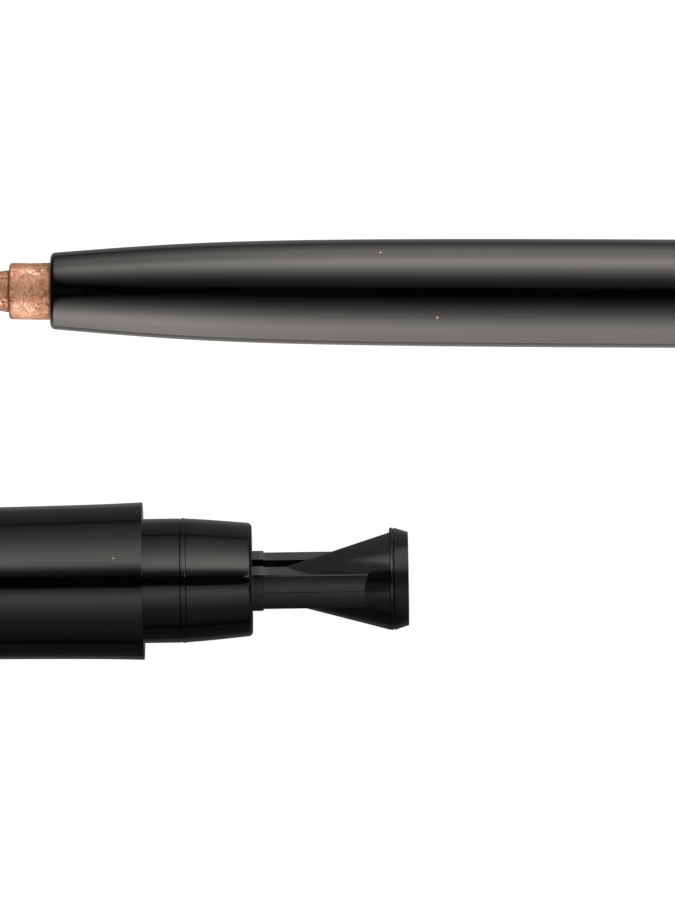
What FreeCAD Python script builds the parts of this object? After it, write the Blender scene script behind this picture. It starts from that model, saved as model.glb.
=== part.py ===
"""Twist-up eyeliner pencil with a pull-out plug that carries a small sharpener.

The pencil lies along X with its lead towards -X. The plug is pulled out of the
barrel and lies beside the pencil, with its sharpener towards +X. All lengths
are in millimetres. Each piece is drawn on the X axis and then laid in its place.
Along the pencil, distances are counted from the nose face of the front shell.
Along the plug, they are counted from the mouth of its sleeve.
"""
import FreeCAD, Part

import math
import os

# Lead
LEAD_DIAMETER = 3.56
LEAD_LENGTH = 41.4
LEAD_OUT = 2.6
TIP_BASE_DIAMETER = 2.68
TIP_LENGTH = 2.6
TIP_HALF_ANGLE = 10.0
TIP_ROUNDING = 0.5
LEAD_SHOULDER_ROUNDING = 0.16

# Front shell
NOSE_DIAMETER = 4.84
NOSE_ROUNDING = 0.32
SHELL_DIAMETER = 6.88
SHELL_LENGTH = 44.0
TAPER_LENGTH = 38.0
TAPER_BEND = 9.5
TAPER_EASE = 12.0
TAPER_RISE = 0.765
TAPER_ARCS = 3
NOSE_BORE_LENGTH = 3.0
CAP_BEAD_HEIGHT = 0.06
CAP_BEAD_WIDTH = 0.6
CAP_BEAD_FROM_BARREL = 1.6
NECK_LENGTH = 14.0
SNAP_BEAD_HEIGHT = 0.18
SNAP_BEAD_WIDTH = 0.8
SNAP_BEAD_FROM_END = 2.2
RING_FROM_MOUTH = 5.0

# Feed inside the front shell
CARRIER_WALL = 0.34
CARRIER_CUP_DEPTH = 3.0
CARRIER_FLOOR = 1.2
CARRIER_SLOT_WIDTH = 0.5
CARRIER_SLOT_DEPTH = 2.4
GUIDE_WALL = 0.35
GUIDE_START = 10.0
GUIDE_KEY_THICKNESS = 2.5
GUIDE_FLANGE_THICKNESS = 0.8
ROD_DIAMETER = 2.4
ROD_FLAT_WIDTH = 1.8
ROD_SPIGOT_DIAMETER = 1.6
ROD_SPIGOT_LENGTH = 1.0
TRAVEL_OUT = 32.0
TRAVEL_BACK = 5.75
FEED_PER_TURN = 3.0

# Barrel
BARREL_DIAMETER = 10.0
BARREL_WALL = 1.0
BARREL_EDGE_BEVEL = 0.15
ROD_CHAMBER_DIAMETER = 7.6
PARTITION_THICKNESS = 1.2
SOCKET_MOUTH_CHAMFER = 0.2
NUT_TURNS = 1.5
NUT_RIM = 0.9
NUT_HUB_WALL = 1.0
NUT_WEB = 1.2
RING_THICKNESS = 0.84
RING_BEVEL = 0.25
RING_GROOVE_WIDTH = 1.1

# Plug sleeve
SLEEVE_LENGTH = 13.0
SLEEVE_END_DIAMETER = 9.58
SLEEVE_FLARE_BEND = 5.0
SLEEVE_FLARE_EASE = 2.5
SLEEVE_BEND_DIAMETER = 9.72
SLEEVE_EASE_DIAMETER = 9.8
FLARE_ARCS = 2
SLEEVE_END_BEVEL = 0.5
SLEEVE_FLOOR = 1.2

# Plug collar
COLLAR_DIAMETER = 7.88
COLLAR_REACH = 6.9
COLLAR_ROOT = 10.6
COLLAR_WALL = 1.0
COLLAR_BEAD_START = 2.28
COLLAR_BEAD_WIDTH = 0.24
COLLAR_BEAD_HEIGHT = 0.035
COLLAR_NOSE_DIAMETER = 7.16
COLLAR_ARCS = 2
COLLAR_EDGE_ROUNDING = 0.29
COLLAR_BOSS_WALL = 0.7
COLLAR_BOSS_LENGTH = 5.0

# Sharpener
STEM_DIAMETER = 5.6
STEM_FACE_RADIUS = 4.5
STEM_THICKNESS = 2.24
STEM_SLOT_WIDTH = 1.56
STEM_BAND_LENGTH = 0.72
STEM_BAND_STEP = 0.12
STEM_BAND_SIDE_STEP = 0.06
STEM_BAND_BEVEL = 0.1
STEM_EDGE_ROUNDING = 0.14
STEM_ROLL = 15.5
FUNNEL_HALF_ANGLE = 15.2
FUNNEL_DIAMETER = 6.48
FUNNEL_END = 15.6
FLAT_SLOPE = 17.7
FLAT_DEPTH = 0.305
FLAT_EDGE_ROUNDING = 0.14
RIM_DIAMETER = 6.5
RIM_EDGE_ROUNDING = 0.09
RIM_BAND = 0.19
RIM_LENGTH = 1.2
RIM_FACE_DIAMETER = 5.92
RIM_GROOVE_WIDTH = 0.13
RIM_GROOVE_DEPTH = 0.06
GUIDE_BORE_DIAMETER = 5.08
GUIDE_MOUTH_CHAMFER = 0.12
SCRAPER_CUT = 0.38
SPIGOT_DIAMETER = 4.2
SPIGOT_LENGTH = 4.8
SPIGOT_RISE = 0.09

# Clearances
RUN_CLEARANCE = 0.05
PRESS_CLEARANCE = 0.02
END_CLEARANCE = 0.5
GUIDE_CLEARANCE = 0.07
NECK_CLEARANCE = 0.06
PLUG_CLEARANCE = 0.03
PLUG_ROOM = 1.2

# How the plug lies beside the pencil
PLUG_ALONG = 5.98
PLUG_APART = 18.37
PLUG_TURN = 1.12

# Radii that follow from the driving sizes
lead_radius = LEAD_DIAMETER / 2
carrier_bore = lead_radius + PRESS_CLEARANCE
carrier_radius = carrier_bore + CARRIER_WALL
guide_bore = carrier_radius + GUIDE_CLEARANCE
guide_radius = guide_bore + GUIDE_WALL
shell_bore = guide_radius + PRESS_CLEARANCE
nose_bore = lead_radius + RUN_CLEARANCE
shell_radius = SHELL_DIAMETER / 2
barrel_radius = BARREL_DIAMETER / 2
barrel_bore = barrel_radius - BARREL_WALL
neck_radius = barrel_bore - NECK_CLEARANCE
ring_groove_radius = barrel_bore - RUN_CLEARANCE - RING_THICKNESS
rod_radius = ROD_DIAMETER / 2
collar_radius = COLLAR_DIAMETER / 2
socket_radius = collar_radius + PLUG_CLEARANCE

# Places along the pencil, from the nose face
lead_rear = LEAD_LENGTH - LEAD_OUT
carrier_front = lead_rear - CARRIER_CUP_DEPTH
carrier_rear = lead_rear + CARRIER_FLOOR
key_front = carrier_rear + TRAVEL_BACK + END_CLEARANCE
neck_rear = SHELL_LENGTH + NECK_LENGTH
flange_rear = neck_rear + GUIDE_FLANGE_THICKNESS
nut_front = flange_rear + END_CLEARANCE
nut_rear = nut_front + NUT_TURNS * FEED_PER_TURN
rod_rear = nut_rear + TRAVEL_OUT
partition_front = rod_rear + TRAVEL_BACK + END_CLEARANCE
socket_floor = partition_front + PARTITION_THICKNESS
sharpener_end = FUNNEL_END + RIM_LENGTH
barrel_rear = socket_floor + sharpener_end + PLUG_ROOM
snap_bead_front = neck_rear - SNAP_BEAD_FROM_END - SNAP_BEAD_WIDTH
ring_groove_front = SHELL_LENGTH + RING_FROM_MOUTH


def point(x, r):
    """A point of a half outline: x along the axis, r from it."""
    return FreeCAD.Vector(x, r, 0)


def straight(points):
    """Straight edges through a list of (x, r) points."""
    return [Part.LineSegment(point(*a), point(*b)).toShape() for a, b in zip(points, points[1:])]


def on_curve(poles, share):
    """The point at a share of the way along the Bezier curve with four (x, r) poles."""
    rest = 1 - share
    weights = (rest**3, 3 * share * rest**2, 3 * share**2 * rest, share**3)
    x = sum(weight * pole[0] for weight, pole in zip(weights, poles))
    r = sum(weight * pole[1] for weight, pole in zip(weights, poles))
    return point(x, r)


def arcs(poles, spans):
    """Circular arcs that follow the smooth curve with four (x, r) poles."""
    edges = []
    for span in range(spans):
        start, middle, end = [on_curve(poles, (span + part) / spans) for part in (0, 0.5, 1)]
        edges.append(Part.Arc(start, middle, end).toShape())
    return edges


def end_rounding(face_x, radius, rounding, slope=0.0, side=1):
    """The arc that rounds an end face into the outside, from the face on.

    The outside would meet the face at the radius given. It rises away from it
    with the slope, and side says which way along X the piece lies.
    """
    tilt = math.atan(slope)
    centre_x = face_x + side * rounding
    end_radius = radius + rounding * (1 - math.sin(tilt)) * slope
    centre_r = end_radius - rounding * math.cos(tilt)
    start, middle, end = [
        point(centre_x - side * rounding * math.sin(angle), centre_r + rounding * math.cos(angle))
        for angle in (math.pi / 2, (math.pi / 2 + tilt) / 2, tilt)
    ]
    return start, Part.Arc(start, middle, end).toShape(), end


def turned(edges):
    """The solid that a closed half outline sweeps round the X axis."""
    wire = Part.Wire(edges)
    face = Part.Face(wire)
    return face.revolve(FreeCAD.Vector(0, 0, 0), FreeCAD.Vector(1, 0, 0), 360)


def rod_along(x_start, x_end, radius):
    """A round bar on the X axis."""
    along = FreeCAD.Vector(1, 0, 0)
    return Part.makeCylinder(radius, x_end - x_start, FreeCAD.Vector(x_start, 0, 0), along)


def ring_along(x_start, x_end, inner, outer):
    """A plain ring on the X axis."""
    return rod_along(x_start, x_end, outer).cut(rod_along(x_start, x_end, inner))


def block(x_start, x_end, y_half, z_half):
    """A block centred on the X axis."""
    corner = FreeCAD.Vector(x_start, -y_half, -z_half)
    return Part.makeBox(x_end - x_start, 2 * y_half, 2 * z_half, corner)


def rings_at(solid, x, radius):
    """The circular edges of a solid that lie at x with the radius given."""
    rings = []
    for edge in solid.Edges:
        if not isinstance(edge.Curve, Part.Circle):
            continue
        if abs(edge.Curve.Center.x - x) < 1e-4 and abs(edge.Curve.Radius - radius) < 1e-4:
            rings.append(edge)
    return rings


def rounded_ring(solid, x, radius, rounding):
    """Round the circular edge that lies at x with the radius given."""
    return solid.makeFillet(rounding, rings_at(solid, x, radius))


def chamfered_ring(solid, x, radius, size):
    """Chamfer the circular edge that lies at x with the radius given."""
    return solid.makeChamfer(size, rings_at(solid, x, radius))


def lies_beyond(edge, height):
    """Whether an edge is a straight line along X, further from the XY plane than the height given."""
    if not isinstance(edge.Curve, Part.Line) or abs(edge.Curve.Direction.x) < 0.99:
        return False
    return all(abs(v.Point.z) > height for v in edge.Vertexes)


def two_flats(x_start, x_end, radius, across):
    """A round bar with two flats, as wide across them as given."""
    bar = rod_along(x_start, x_end, radius)
    return bar.common(block(x_start, x_end, radius, across / 2))


def make_lead():
    """Soft stick with a slimmer tapered tip on its front end."""
    shoulder = -LEAD_OUT
    tip_end = shoulder - TIP_LENGTH
    tip_base = TIP_BASE_DIAMETER / 2
    tip_radius = tip_base - TIP_LENGTH * math.tan(math.radians(TIP_HALF_ANGLE))
    outline = [(tip_end, 0), (tip_end, tip_radius), (shoulder, tip_base)]
    outline += [(shoulder, lead_radius), (lead_rear, lead_radius), (lead_rear, 0), (tip_end, 0)]
    lead = turned(straight(outline))
    lead = rounded_ring(lead, tip_end, tip_radius, min(TIP_ROUNDING, 0.6 * tip_radius))
    return rounded_ring(lead, shoulder, lead_radius, LEAD_SHOULDER_ROUNDING)


def make_front_shell():
    """Tapered outer tube, with the neck that turns in the barrel."""
    nose_radius = NOSE_DIAMETER / 2
    bend_radius = nose_radius + TAPER_RISE * (shell_radius - nose_radius)
    nose_slope = (bend_radius - nose_radius) / TAPER_BEND
    nose_start, nose_arc, nose_end = end_rounding(0, nose_radius, NOSE_ROUNDING, nose_slope)
    taper = [(nose_end.x, nose_end.y), (TAPER_BEND, bend_radius)]
    taper += [(TAPER_EASE, shell_radius), (TAPER_LENGTH, shell_radius)]
    outside = [(TAPER_LENGTH, shell_radius), (SHELL_LENGTH, shell_radius)]
    outside += [(SHELL_LENGTH, neck_radius), (neck_rear, neck_radius), (neck_rear, 0), (0, 0)]
    outside += [(nose_start.x, nose_start.y)]
    shell = turned([nose_arc] + arcs(taper, TAPER_ARCS) + straight(outside))

    bead_front = SHELL_LENGTH - CAP_BEAD_FROM_BARREL - CAP_BEAD_WIDTH
    shell = shell.fuse(bead(bead_front, CAP_BEAD_WIDTH, shell_radius, CAP_BEAD_HEIGHT))
    shell = shell.fuse(bead(snap_bead_front, SNAP_BEAD_WIDTH, neck_radius, SNAP_BEAD_HEIGHT))
    groove_rear = ring_groove_front + RING_GROOVE_WIDTH
    groove = ring_along(ring_groove_front, groove_rear, ring_groove_radius, barrel_radius)

    bore = rod_along(-1, NOSE_BORE_LENGTH, nose_bore)
    bore = bore.fuse(rod_along(NOSE_BORE_LENGTH, GUIDE_START, guide_bore))
    bore = bore.fuse(rod_along(GUIDE_START, neck_rear + 1, shell_bore))
    return shell.cut(groove).cut(bore).removeSplitter()


def bead(start, width, radius, height):
    """A low ridge with two sloping sides round a shaft of the radius given."""
    inner = radius - 0.2
    end = start + width
    section = [(start, inner), (start, radius), (start + width / 2, radius + height)]
    section += [(end, radius), (end, inner), (start, inner)]
    return turned(straight(section))


def make_guide_tube():
    """Tube that guides the carrier, with the keyed hole behind it."""
    tube = rod_along(GUIDE_START, neck_rear, guide_radius)
    tube = tube.fuse(rod_along(neck_rear, flange_rear, neck_radius - END_CLEARANCE / 2))
    tube = tube.cut(rod_along(GUIDE_START, key_front, guide_bore))
    key_rear = key_front + GUIDE_KEY_THICKNESS
    tube = tube.cut(rod_along(key_rear, flange_rear, guide_bore))
    key = two_flats(
        key_front - 1,
        key_rear + 1,
        rod_radius + RUN_CLEARANCE,
        ROD_FLAT_WIDTH + 2 * RUN_CLEARANCE,
    )
    return tube.cut(key).removeSplitter()


def make_lead_carrier():
    """Cup with four fingers that grips the rear end of the lead."""
    carrier = rod_along(carrier_front, carrier_rear, carrier_radius)
    carrier = carrier.cut(rod_along(carrier_front, lead_rear, carrier_bore))
    slot_end = carrier_front + CARRIER_SLOT_DEPTH
    half_slot = CARRIER_SLOT_WIDTH / 2
    carrier = carrier.cut(block(carrier_front - 1, slot_end, carrier_radius + 1, half_slot))
    carrier = carrier.cut(block(carrier_front - 1, slot_end, half_slot, carrier_radius + 1))
    socket = rod_along(
        carrier_rear - ROD_SPIGOT_LENGTH - PRESS_CLEARANCE,
        carrier_rear,
        ROD_SPIGOT_DIAMETER / 2 + PRESS_CLEARANCE,
    )
    return carrier.cut(socket)


def make_push_rod():
    """Screw rod with two flats; the fine thread itself is left plain."""
    rod = two_flats(carrier_rear, rod_rear, rod_radius, ROD_FLAT_WIDTH)
    spigot = rod_along(carrier_rear - ROD_SPIGOT_LENGTH, carrier_rear, ROD_SPIGOT_DIAMETER / 2)
    return rod.fuse(spigot).removeSplitter()


def make_drive_nut():
    """Nut with a rim, a web and a hub, fixed in the barrel's bore."""
    outer = barrel_bore - PRESS_CLEARANCE
    hub_bore = rod_radius + RUN_CLEARANCE
    hub_radius = hub_bore + NUT_HUB_WALL
    middle = (nut_front + nut_rear) / 2
    nut = ring_along(nut_front, nut_rear, outer - NUT_RIM, outer)
    nut = nut.fuse(ring_along(nut_front, nut_rear, hub_bore, hub_radius))
    web = ring_along(middle - NUT_WEB / 2, middle + NUT_WEB / 2, hub_radius, outer - NUT_RIM)
    return nut.fuse(web).removeSplitter()


def make_friction_ring():
    """Soft ring that sits in the neck's groove and drags on the barrel."""
    front = ring_groove_front + RUN_CLEARANCE
    rear = ring_groove_front + RING_GROOVE_WIDTH - RUN_CLEARANCE
    foot = ring_groove_radius
    shoulder = foot + RING_THICKNESS - RING_BEVEL
    crown = foot + RING_THICKNESS
    section = [(front, foot), (front, shoulder), (front + RING_BEVEL, crown)]
    section += [(rear - RING_BEVEL, crown), (rear, shoulder), (rear, foot), (front, foot)]
    return turned(straight(section))


def make_rear_barrel():
    """Barrel with the mechanism's bore in front and the plug's socket behind."""
    barrel = rod_along(SHELL_LENGTH, barrel_rear, barrel_radius)
    barrel = chamfered_ring(barrel, SHELL_LENGTH, barrel_radius, BARREL_EDGE_BEVEL)
    barrel = chamfered_ring(barrel, barrel_rear, barrel_radius, BARREL_EDGE_BEVEL)
    bore = rod_along(SHELL_LENGTH - 1, nut_rear + PRESS_CLEARANCE, barrel_bore)
    bore = bore.fuse(rod_along(nut_rear, partition_front, ROD_CHAMBER_DIAMETER / 2))
    groove_width = SNAP_BEAD_WIDTH + 2 * NECK_CLEARANCE
    groove_front = snap_bead_front - NECK_CLEARANCE
    groove_radius = neck_radius + SNAP_BEAD_HEIGHT + NECK_CLEARANCE
    groove = rod_along(groove_front, groove_front + groove_width, groove_radius)
    socket = rod_along(socket_floor, barrel_rear + 1, socket_radius)
    bead_slot_start = barrel_rear - COLLAR_BEAD_START - COLLAR_BEAD_WIDTH - PLUG_CLEARANCE
    bead_slot = rod_along(
        bead_slot_start,
        barrel_rear - COLLAR_BEAD_START + PLUG_CLEARANCE,
        collar_radius + COLLAR_BEAD_HEIGHT + PLUG_CLEARANCE,
    )
    barrel = barrel.cut(bore.fuse(groove)).cut(socket.fuse(bead_slot)).removeSplitter()
    return chamfered_ring(barrel, barrel_rear, socket_radius, SOCKET_MOUTH_CHAMFER)


def make_plug_sleeve():
    """Closed sleeve that the fingers pull, flaring gently to its mouth."""
    end_radius = SLEEVE_END_DIAMETER / 2
    closed_end = -SLEEVE_LENGTH
    bevel_end = closed_end + SLEEVE_END_BEVEL
    flare = [(bevel_end, end_radius), (-SLEEVE_FLARE_BEND, SLEEVE_BEND_DIAMETER / 2)]
    flare += [(-SLEEVE_FLARE_EASE, SLEEVE_EASE_DIAMETER / 2), (0, barrel_radius)]
    rest = [(0, barrel_radius), (0, 0), (closed_end, 0), (closed_end, end_radius - SLEEVE_END_BEVEL)]
    rest += [(bevel_end, end_radius)]
    sleeve = turned(arcs(flare, FLARE_ARCS) + straight(rest))
    hollow = rod_along(closed_end + SLEEVE_FLOOR, 1, collar_radius + PRESS_CLEARANCE)
    return sleeve.cut(hollow)


def make_plug_collar():
    """Insert of the plug, with the snap bead and the boss for the sharpener."""
    nose_radius = COLLAR_NOSE_DIAMETER / 2
    taper_start = COLLAR_BEAD_START + COLLAR_BEAD_WIDTH
    taper_length = COLLAR_REACH - taper_start
    drop = collar_radius - nose_radius
    bend_radius = collar_radius - 0.6 * drop
    slope = (bend_radius - nose_radius) / (0.35 * taper_length)
    face_start, face_arc, taper_end = end_rounding(
        COLLAR_REACH, nose_radius, COLLAR_EDGE_ROUNDING, slope, side=-1
    )
    taper = [
        (taper_start, collar_radius),
        (taper_start + 0.3 * taper_length, collar_radius - 0.17 * drop),
        (taper_start + 0.65 * taper_length, bend_radius),
        (taper_end.x, taper_end.y),
    ]
    rest = [(face_start.x, face_start.y), (COLLAR_REACH, 0), (-COLLAR_ROOT, 0)]
    rest += [(-COLLAR_ROOT, collar_radius), (taper_start, collar_radius)]
    collar = turned(arcs(taper, COLLAR_ARCS) + [face_arc] + straight(rest))
    ridge = bead(COLLAR_BEAD_START, COLLAR_BEAD_WIDTH, collar_radius, COLLAR_BEAD_HEIGHT)
    collar = collar.fuse(ridge)

    boss_bore = SPIGOT_DIAMETER / 2 + PRESS_CLEARANCE
    boss_radius = boss_bore + COLLAR_BOSS_WALL
    front_wall = COLLAR_REACH - COLLAR_WALL
    boss_end = COLLAR_REACH - COLLAR_BOSS_LENGTH
    hollow_radius = nose_radius - COLLAR_WALL / 2
    hollow = rod_along(-COLLAR_ROOT - 1, front_wall, min(hollow_radius, collar_radius - COLLAR_WALL))
    hollow = hollow.cut(ring_along(boss_end, front_wall, boss_bore, boss_radius))
    return collar.cut(hollow).cut(rod_along(boss_end - 1, COLLAR_REACH + 1, boss_bore)).removeSplitter()


def leg_pair(x_start, x_end, step, side_step):
    """The two legs: a plate with gently bowed outer faces, split by the slot.

    The steps say how much further out the faces and the sides lie.
    """
    crown = STEM_DIAMETER / 2 + step
    half_thickness = STEM_THICKNESS / 2 + side_step
    legs = block(x_start, x_end, half_thickness, crown)
    for side in (1, -1):
        bow = rod_along(x_start, x_end, STEM_FACE_RADIUS)
        bow.translate(FreeCAD.Vector(0, 0, side * (crown - STEM_FACE_RADIUS)))
        legs = legs.common(bow)
    return legs.cut(block(x_start, x_end, 2 * half_thickness, STEM_SLOT_WIDTH / 2))


def make_sharpener():
    """Funnel sharpener moulded in one piece on two legs, with its spigot on the axis.

    Two legs carry the funnel, and the outside of the funnel grows out of them.
    A sloping flat is cut across the funnel and runs down between the legs. It
    opens the scraping cone inside along a narrow slot, whose edge shaves the
    lead. The pencil's nose sits in the round guide bore at the mouth.
    """
    funnel_radius = FUNNEL_DIAMETER / 2
    slope = math.tan(math.radians(FUNNEL_HALF_ANGLE))
    funnel_apex = FUNNEL_END - funnel_radius / slope
    base_radius = slope * (COLLAR_REACH - funnel_apex)

    funnel_outline = [(COLLAR_REACH, 0), (COLLAR_REACH, base_radius)]
    funnel_outline += [(FUNNEL_END, funnel_radius), (FUNNEL_END, 0), (COLLAR_REACH, 0)]
    funnel = turned(straight(funnel_outline))

    # The flat is a plane across the funnel, lower at the stem than at the rim
    flat_slope = math.tan(math.radians(FLAT_SLOPE))
    flat_at_rim = funnel_radius - FLAT_DEPTH
    flat_foot = FUNNEL_END - flat_at_rim / flat_slope
    over = [(flat_foot - 1, -flat_slope), (FUNNEL_END, flat_at_rim)]
    over += [(FUNNEL_END, 2 * funnel_radius), (flat_foot - 1, 2 * funnel_radius)]
    over += [(flat_foot - 1, -flat_slope)]
    above_flat = Part.Face(Part.Wire(straight(over)))
    above_flat.translate(FreeCAD.Vector(0, 0, -2 * funnel_radius))
    above_flat = above_flat.extrude(FreeCAD.Vector(0, 0, 4 * funnel_radius))
    funnel = funnel.cut(above_flat)
    flat_edges = [edge for edge in funnel.Edges if not isinstance(edge.Curve, (Part.Line, Part.Circle))]
    funnel = funnel.makeFillet(FLAT_EDGE_ROUNDING, flat_edges)

    # Legs with round edges, and a raised band round their root
    legs = leg_pair(COLLAR_REACH, FUNNEL_END, 0.0, 0.0)
    long_edges = [edge for edge in legs.Edges if lies_beyond(edge, STEM_SLOT_WIDTH)]
    legs = legs.makeFillet(STEM_EDGE_ROUNDING, long_edges)
    band_end = COLLAR_REACH + STEM_BAND_LENGTH
    band = leg_pair(COLLAR_REACH, band_end, STEM_BAND_STEP, STEM_BAND_SIDE_STEP)
    bevelled = [edge for edge in band.Edges if edge.BoundBox.XMin > band_end - 1e-4 and abs(edge.CenterOfMass.z) > STEM_DIAMETER / 2]
    band = band.makeChamfer(STEM_BAND_BEVEL, bevelled)
    legs = legs.fuse(band)
    legs.rotate(FreeCAD.Vector(0, 0, 0), FreeCAD.Vector(1, 0, 0), STEM_ROLL)

    rim_end = FUNNEL_END + RIM_LENGTH
    rim_radius = RIM_DIAMETER / 2
    groove_start = FUNNEL_END + RIM_BAND
    rim_start, rim_arc, rim_top = end_rounding(FUNNEL_END, rim_radius, RIM_EDGE_ROUNDING)
    rim_outline = [(rim_top.x, rim_top.y), (groove_start, rim_radius)]
    rim_outline += [(groove_start + RIM_GROOVE_WIDTH / 2, rim_radius - RIM_GROOVE_DEPTH)]
    rim_outline += [(groove_start + RIM_GROOVE_WIDTH, rim_radius)]
    rim_outline += [(rim_end, RIM_FACE_DIAMETER / 2), (rim_end, 0), (FUNNEL_END, 0)]
    rim_outline += [(rim_start.x, rim_start.y)]
    rim = turned([rim_arc] + straight(rim_outline))

    # The spigot is moulded a little off the centre of the legs
    base = rod_along(COLLAR_REACH - SPIGOT_LENGTH, COLLAR_REACH, SPIGOT_DIAMETER / 2)
    base.translate(FreeCAD.Vector(0, SPIGOT_RISE, 0))
    body = funnel.fuse([legs, rim, base])

    # Inside: guide bore from the mouth, then the scraping cone
    bore_radius = GUIDE_BORE_DIAMETER / 2
    scraper_apex = flat_foot - SCRAPER_CUT
    cone_end = scraper_apex + bore_radius / flat_slope
    cone_start = scraper_apex + 0.3 * (cone_end - scraper_apex)
    inside = [(cone_start, 0), (cone_start, flat_slope * (cone_start - scraper_apex))]
    inside += [(cone_end, bore_radius), (rim_end - GUIDE_MOUTH_CHAMFER, bore_radius)]
    inside += [(rim_end, bore_radius + GUIDE_MOUTH_CHAMFER), (rim_end + 1, bore_radius)]
    inside += [(rim_end + 1, 0), (cone_start, 0)]
    body = body.cut(turned(straight(inside))).removeSplitter()
    body.translate(FreeCAD.Vector(0, -SPIGOT_RISE, 0))
    return body


def main():
    """Build every piece, lay them in place and write one file each."""
    pencil = {
        "lead": make_lead(),
        "front_shell": make_front_shell(),
        "guide_tube": make_guide_tube(),
        "lead_carrier": make_lead_carrier(),
        "push_rod": make_push_rod(),
        "drive_nut": make_drive_nut(),
        "friction_ring": make_friction_ring(),
        "rear_barrel": make_rear_barrel(),
    }
    plug = {
        "plug_sleeve": make_plug_sleeve(),
        "plug_collar": make_plug_collar(),
        "sharpener": make_sharpener(),
    }
    turn = FreeCAD.Rotation(FreeCAD.Vector(0, 0, 1), PLUG_TURN)
    lie = FreeCAD.Placement(FreeCAD.Vector(PLUG_ALONG, -PLUG_APART, 0), turn)
    for name, shape in plug.items():
        shape.Placement = lie.multiply(shape.Placement)

    pieces = {**pencil, **plug}
    whole = Part.makeCompound(list(pieces.values())).optimalBoundingBox()
    to_origin = FreeCAD.Vector(-whole.Center.x, -whole.Center.y, -whole.ZMin)
    os.makedirs("parts", exist_ok=True)
    for name, shape in pieces.items():
        shape.translate(to_origin)
        shape.exportStep("parts/" + name + ".step")
        print(name, "solids", len(shape.Solids), "valid", shape.isValid(), "mm3", round(shape.Volume, 2))
    print("size in mm", round(whole.XLength, 3), round(whole.YLength, 3), round(whole.ZLength, 3))
    print("nose face centre", [round(value, 4) for value in to_origin])
    sleeve_mouth = lie.multVec(FreeCAD.Vector(0, 0, 0)) + to_origin
    print("sleeve mouth centre", [round(value, 4) for value in sleeve_mouth])


main()
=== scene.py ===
# %% [markdown]
# # A twist-up eyeliner pencil and its sharpener plug
#
# This lesson dresses a finished CAD model in Blender. The CAD frame gives every
# solid its place, and each cell below makes one surface of the real object: the
# lacquered shell, the soft lead, the moulded sharpener. We start by loading the
# frame and keeping its box, so that its size can be printed at the end.

# %% Load the frame
import math

import bpy
from mathutils import Matrix, Vector, noise


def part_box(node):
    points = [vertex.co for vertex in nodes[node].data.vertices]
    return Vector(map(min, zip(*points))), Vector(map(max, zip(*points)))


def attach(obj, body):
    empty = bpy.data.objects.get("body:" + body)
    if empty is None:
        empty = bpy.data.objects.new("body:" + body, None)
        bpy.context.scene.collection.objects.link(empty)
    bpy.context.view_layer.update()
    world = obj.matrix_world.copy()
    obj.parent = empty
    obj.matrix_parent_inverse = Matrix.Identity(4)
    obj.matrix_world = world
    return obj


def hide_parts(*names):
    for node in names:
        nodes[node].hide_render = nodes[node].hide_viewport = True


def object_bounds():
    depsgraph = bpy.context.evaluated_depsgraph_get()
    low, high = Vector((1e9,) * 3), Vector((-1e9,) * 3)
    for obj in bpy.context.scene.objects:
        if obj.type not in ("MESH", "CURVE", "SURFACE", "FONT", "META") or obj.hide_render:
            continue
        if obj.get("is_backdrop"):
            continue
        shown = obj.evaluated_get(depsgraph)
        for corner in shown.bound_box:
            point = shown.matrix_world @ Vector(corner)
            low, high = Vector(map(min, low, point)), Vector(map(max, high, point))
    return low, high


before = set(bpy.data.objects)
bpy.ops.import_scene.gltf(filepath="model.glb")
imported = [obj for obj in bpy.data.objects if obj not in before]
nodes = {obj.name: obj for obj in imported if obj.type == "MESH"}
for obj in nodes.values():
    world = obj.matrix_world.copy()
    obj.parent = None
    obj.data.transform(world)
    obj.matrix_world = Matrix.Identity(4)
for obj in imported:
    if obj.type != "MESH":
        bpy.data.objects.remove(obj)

cad_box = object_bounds()
print("CAD solids:", sorted(nodes))

# %% [markdown]
# Everything on a pencil is round, so every piece is drawn as a half outline:
# pairs of (distance along the axis, radius), in millimetres. Two axes are enough.
# The pencil's starts at the middle of its nose face. The plug's starts at the
# mouth of its sleeve, beside the pencil and turned by about a degree, because it
# was simply laid down there.

# %% Two axes to work on
MM = 0.001
PLUG_ALONG = 5.98
PLUG_APART = 18.37
PLUG_TURN = math.radians(1.12)

shell_low, shell_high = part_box("front_shell")
shell_middle = (shell_low + shell_high) / 2
nose = Vector((shell_low.x, shell_middle.y, shell_middle.z))
sleeve_mouth = nose + Vector((PLUG_ALONG, -PLUG_APART, 0)) * MM
pencil_place = Matrix.Translation(nose)
plug_place = Matrix.Translation(sleeve_mouth) @ Matrix.Rotation(PLUG_TURN, 4, "Z")
print("nose at mm", [round(v / MM, 3) for v in nose])
print("sleeve mouth at mm", [round(v / MM, 3) for v in sleeve_mouth])

# %% [markdown]
# ## The camera
#
# The object was photographed from straight above with a long lens. A camera far
# away with a narrow view gives the same flat look as a macro lens, and still
# gives true perspective. The picture is 900 pixels high and shows 57 mm, so the
# lens follows from the distance. The camera is rolled by a quarter of a degree,
# since the pencil lies very slightly off level in the picture.

# %% Camera
VIEW_CENTRE = nose + Vector((18.243, -10.005, 0)) * MM
VIEW_HEIGHT = 57.07 * MM
CAMERA_RISE = 600 * MM
CAMERA_ROLL = math.atan(0.0044)
SENSOR = 36.0

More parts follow.
